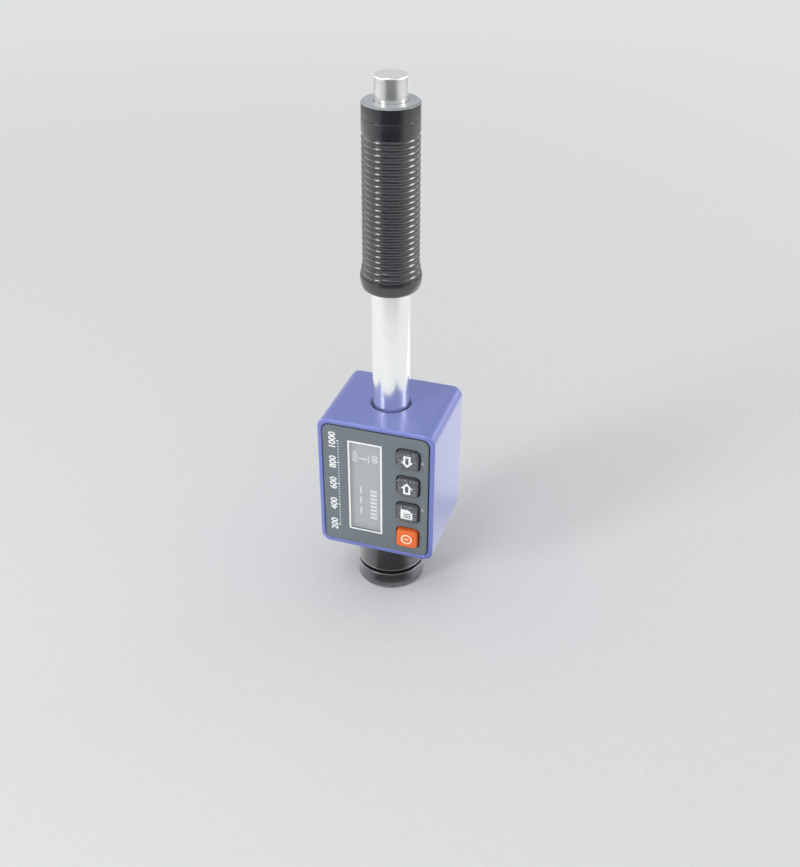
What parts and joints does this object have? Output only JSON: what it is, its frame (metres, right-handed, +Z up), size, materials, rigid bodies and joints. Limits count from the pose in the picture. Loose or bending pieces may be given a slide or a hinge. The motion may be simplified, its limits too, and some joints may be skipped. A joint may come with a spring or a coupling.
{
  "type": "pen hardness tester",
  "caption": "Pen-type rebound hardness tester: a ribbed loading sleeve slides on a guide tube above a small boxed display with keys, over a collar and a screw-on support ring.",
  "frame": {"origin": "on the pen's axis, in the plane of the support ring's foot", "axes": "+Z up the pen towards the release button, the display panel faces -Y, and +X is to the right of it"},
  "size_m": [0.0336, 0.0295, 0.148],
  "materials": {
    "blue_anodised": "bead-blasted blue anodised",
    "panel_plastic": "smooth dark grey",
    "window_plastic": "clear window with a printed border",
    "lcd_glass": "display module",
    "mat_plastic": "moulded keypad mat",
    "key_rubber": "fine-grained dark rubber",
    "power_rubber": "fine-grained orange rubber",
    "board_laminate": "green circuit board",
    "chip_plastic": "moulded chip packages",
    "screw_steel": "plated screws",
    "socket_steel": "plated socket shell",
    "battery_pouch": "foil pouch",
    "foam_pad": "foam pad",
    "lead_plastic": "insulated lead",
    "nose_black": "black anodised, turned",
    "nut_brass": "turned brass",
    "bobbin_plastic": "moulded bobbin",
    "coil_copper": "enamelled copper winding",
    "satin_steel": "satin ground",
    "seal_rubber": "soft seal",
    "bush_brass": "turned brass",
    "hard_steel": "hardened and ground",
    "magnet_nickel": "nickel plated",
    "ball_carbide": "polished ball",
    "spring_steel": "spring wire",
    "grip_black": "glossy black",
    "satin_aluminium": "satin turned"
  },
  "bodies": {
    "housing": {"housing": "blue_anodised", "back_cover": "blue_anodised", "front_panel": "panel_plastic", "display_window": "window_plastic", "lcd_module": "lcd_glass", "keypad_mat": "mat_plastic", "main_board": "board_laminate", "board_chips": "chip_plastic", "board_screws": "screw_steel", "cover_screws": "screw_steel", "usb_socket": "socket_steel", "battery": "battery_pouch", "battery_pad": "foam_pad", "battery_lead": "lead_plastic", "coil_lead": "lead_plastic", "coil_housing": "nose_black", "nose_adapter": "nose_black", "support_ring": "nose_black", "collar_nut": "nut_brass", "coil_bobbin": "bobbin_plastic", "induction_coil": "coil_copper", "guide_tube": "satin_steel", "tube_seal": "seal_rubber", "stop_bush": "bush_brass", "impact_spring": "spring_steel", "loading_spring": "spring_steel"},
    "sleeve": {"loading_sleeve": "grip_black", "sleeve_bush": "bush_brass", "sleeve_cap": "grip_black", "chuck_rod": "hard_steel", "catch_chuck": "hard_steel", "button_spring": "spring_steel"},
    "button": {"release_button": "satin_aluminium", "release_pin": "hard_steel"},
    "impact": {"impact_body": "hard_steel", "impact_magnet": "magnet_nickel", "ball_holder": "hard_steel", "impact_ball": "ball_carbide"},
    "key_down": {"key_down": "key_rubber"},
    "key_up": {"key_up": "key_rubber"},
    "key_page": {"key_page": "key_rubber"},
    "key_power": {"key_power": "power_rubber"}
  },
  "joints": [
    {"name": "sleeve_slide", "type": "slide", "parent": "housing", "child": "sleeve", "axis": [0, 0, -1], "range_m": [0, 0.024], "stiffness_N_per_m": 350, "springref_m": -0.01, "deforming": ["loading_spring"]},
    {"name": "button_press", "type": "slide", "parent": "sleeve", "child": "button", "axis": [0, 0, -1], "range_m": [0, 0.0022], "stiffness_N_per_m": 900, "springref_m": -0.002, "deforming": ["button_spring"]},
    {"name": "impact_slide", "type": "slide", "parent": "housing", "child": "impact", "axis": [0, 0, -1], "range_m": [-0.0235, 0], "deforming": ["impact_spring"]},
    {"name": "key_down_press", "type": "slide", "parent": "housing", "child": "key_down", "axis": [0, 1, 0], "range_m": [0, 0.0006], "stiffness_N_per_m": 2000, "springref_m": -0.0003},
    {"name": "key_up_press", "type": "slide", "parent": "housing", "child": "key_up", "axis": [0, 1, 0], "range_m": [0, 0.0006], "stiffness_N_per_m": 2000, "springref_m": -0.0003},
    {"name": "key_page_press", "type": "slide", "parent": "housing", "child": "key_page", "axis": [0, 1, 0], "range_m": [0, 0.0006], "stiffness_N_per_m": 2000, "springref_m": -0.0003},
    {"name": "key_power_press", "type": "slide", "parent": "housing", "child": "key_power", "axis": [0, 1, 0], "range_m": [0, 0.0006], "stiffness_N_per_m": 2000, "springref_m": -0.0003}
  ]
}
